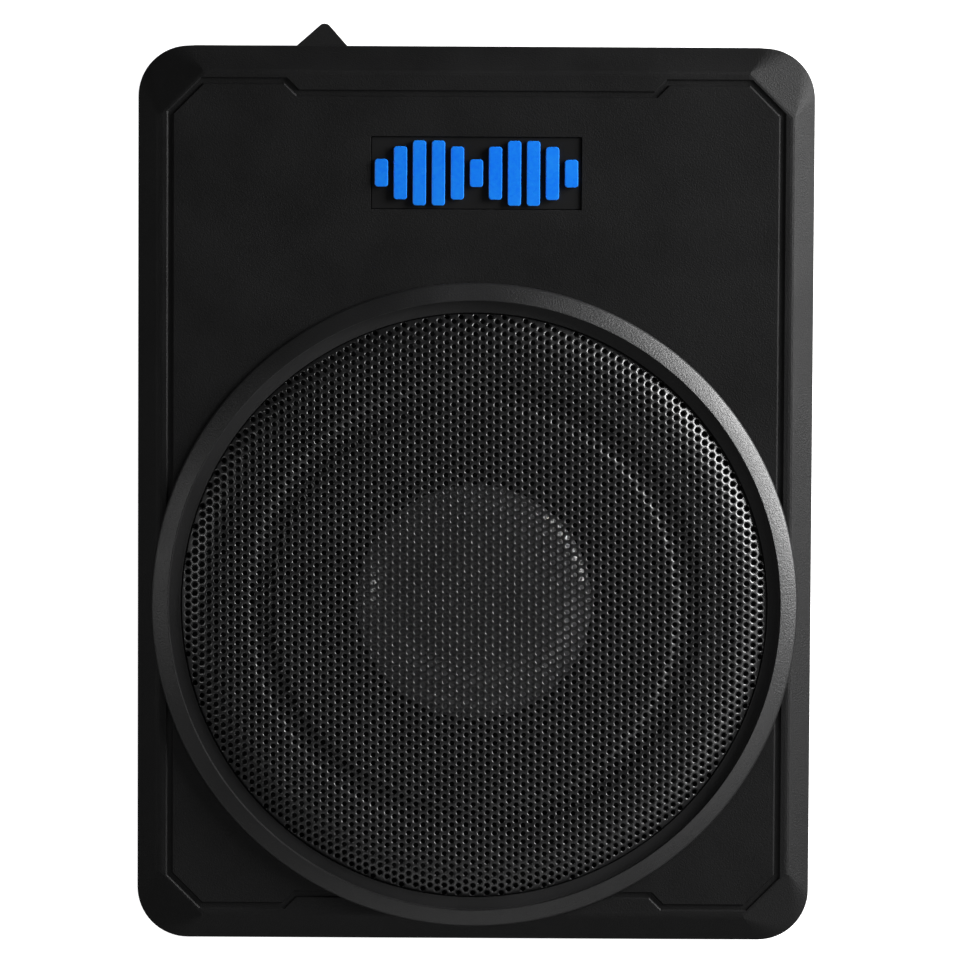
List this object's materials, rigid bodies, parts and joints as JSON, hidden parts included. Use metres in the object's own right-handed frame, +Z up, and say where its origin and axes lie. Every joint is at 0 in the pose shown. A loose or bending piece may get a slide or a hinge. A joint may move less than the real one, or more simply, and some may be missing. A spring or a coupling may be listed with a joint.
{
  "type": "powered car subwoofer",
  "caption": "Slim under-seat car subwoofer with a built-in amplifier: flat enclosure, domed round grille, recessed end panel with controls, swivelling mounting tabs and rubber feet.",
  "frame": {"origin": "on the floor, under the centre of the whole outline's box as it lies on its feet", "axes": "+Z up, the way the grille faces; +Y towards the end with the control panel; +X to the right when the badge end is at the top"},
  "size_m": [0.26, 0.3536, 0.0755],
  "materials": {
    "powder_coat": "fine-textured matt black powder coat",
    "cast_base": "matt black coated casting",
    "satin_trim": "satin black",
    "grille_steel": "satin black perforated sheet",
    "seal_rubber": "matt",
    "foot_rubber": "matt",
    "screw_steel": "zinc",
    "black_screw": "black oxide",
    "black_plastic": "moulded",
    "emblem_blue": "glossy blue",
    "cone_paper": "pressed black pulp",
    "cap_gloss": "glossy dark grey",
    "spider_cloth": "treated woven cotton",
    "former_film": "amber film",
    "copper_wire": "enamelled copper",
    "motor_steel": "black plated steel",
    "ferrite": "matt ferrite",
    "basket_steel": "black coated stamping",
    "tinsel": "braided",
    "phenolic": "laminate",
    "board_green": "solder mask",
    "bar_alloy": "milled",
    "chip_black": "moulded epoxy",
    "can_sleeve": "shrink sleeve",
    "wire_red": "insulation",
    "plated_gold": "gold plated",
    "insert_plastic": "moulded",
    "socket_white": "nylon",
    "switch_metal": "tinned",
    "slider_grey": "moulded",
    "fuse_plastic": "translucent",
    "light_lens": "diffused"
  },
  "bodies": {
    "enclosure": {"top_shell": "powder_coat", "base_shell": "cast_base", "shell_gasket": "seal_rubber", "shell_screws": "black_screw", "rubber_feet": "foot_rubber", "foot_screws": "screw_steel", "badge_plate": "black_plastic", "badge_emblem": "emblem_blue", "trim_ring": "satin_trim", "ring_screws": "screw_steel", "grille": "grille_steel", "grille_cushion": "seal_rubber", "basket": "basket_steel", "driver_gasket": "seal_rubber", "driver_screws": "black_screw", "surround": "seal_rubber", "spider": "spider_cloth", "top_plate": "motor_steel", "magnet": "ferrite", "t_yoke": "motor_steel", "tinsel_leads": "tinsel", "terminal_strip": "phenolic", "control_panel": "powder_coat", "panel_screws": "black_screw", "amp_board": "board_green", "board_screws": "screw_steel", "heatsink_bar": "bar_alloy", "power_transistors": "chip_black", "filter_capacitors": "can_sleeve", "toroid_core": "ferrite", "toroid_winding": "copper_wire", "control_pots": "chip_black", "slide_switches": "switch_metal", "phono_shells": "plated_gold", "phono_inserts": "insert_plastic", "high_level_socket": "socket_white", "power_socket": "black_plastic", "socket_pins": "plated_gold", "fuse_holder": "black_plastic", "remote_port": "black_plastic", "power_light": "light_lens", "driver_leads": "wire_red", "tab_pivots": "screw_steel"},
    "cone_assembly": {"cone": "cone_paper", "dust_cap": "cap_gloss", "voice_coil_former": "former_film", "voice_coil": "copper_wire"},
    "gain_control": {"gain_knob": "black_plastic"},
    "lowpass_control": {"lowpass_knob": "black_plastic"},
    "boost_control": {"boost_knob": "black_plastic"},
    "phase_control": {"phase_slider": "slider_grey"},
    "input_control": {"input_slider": "slider_grey"},
    "fuse": {"fuse_cap": "fuse_plastic", "fuse_blades": "switch_metal"},
    "tab_1": {"mounting_tab_1": "cast_base"},
    "tab_2": {"mounting_tab_2": "cast_base"},
    "tab_3": {"mounting_tab_3": "cast_base"},
    "tab_4": {"mounting_tab_4": "cast_base"}
  },
  "joints": [
    {"name": "cone_travel", "type": "slide", "parent": "enclosure", "child": "cone_assembly", "axis": [0, 0, 1], "range_m": [-0.005, 0.005], "stiffness_N_per_m": 3000, "deforming": ["surround", "spider", "tinsel_leads"]},
    {"name": "gain_turn", "type": "hinge", "parent": "enclosure", "child": "gain_control", "pos_m": [-0.042, 0.14966, 0.025], "axis": [0, 1, 0], "range_deg": [-140, 140]},
    {"name": "lowpass_turn", "type": "hinge", "parent": "enclosure", "child": "lowpass_control", "pos_m": [-0.062, 0.14966, 0.025], "axis": [0, 1, 0], "range_deg": [-140, 140]},
    {"name": "boost_turn", "type": "hinge", "parent": "enclosure", "child": "boost_control", "pos_m": [-0.082, 0.14966, 0.025], "axis": [0, 1, 0], "range_deg": [-140, 140]},
    {"name": "phase_slide", "type": "slide", "parent": "enclosure", "child": "phase_control", "axis": [1, 0, 0], "range_m": [0, 0.003]},
    {"name": "input_slide", "type": "slide", "parent": "enclosure", "child": "input_control", "axis": [1, 0, 0], "range_m": [0, 0.003]},
    {"name": "fuse_pull", "type": "slide", "parent": "enclosure", "child": "fuse", "axis": [0, 1, 0], "range_m": [0, 0.012]},
    {"name": "tab_1_swivel", "type": "hinge", "parent": "enclosure", "child": "tab_1", "pos_m": [-0.0868, 0.14066, 0.0056], "axis": [0, 0, 1], "range_deg": [-41.5, 48.5]},
    {"name": "tab_2_swivel", "type": "hinge", "parent": "enclosure", "child": "tab_2", "pos_m": [0.0868, 0.14066, 0.0056], "axis": [0, 0, 1], "range_deg": [-90, 0]},
    {"name": "tab_3_swivel", "type": "hinge", "parent": "enclosure", "child": "tab_3", "pos_m": [-0.0868, -0.14934, 0.0056], "axis": [0, 0, 1], "range_deg": [-90, 0]},
    {"name": "tab_4_swivel", "type": "hinge", "parent": "enclosure", "child": "tab_4", "pos_m": [0.0868, -0.14934, 0.0056], "axis": [0, 0, 1], "range_deg": [0, 90]}
  ]
}
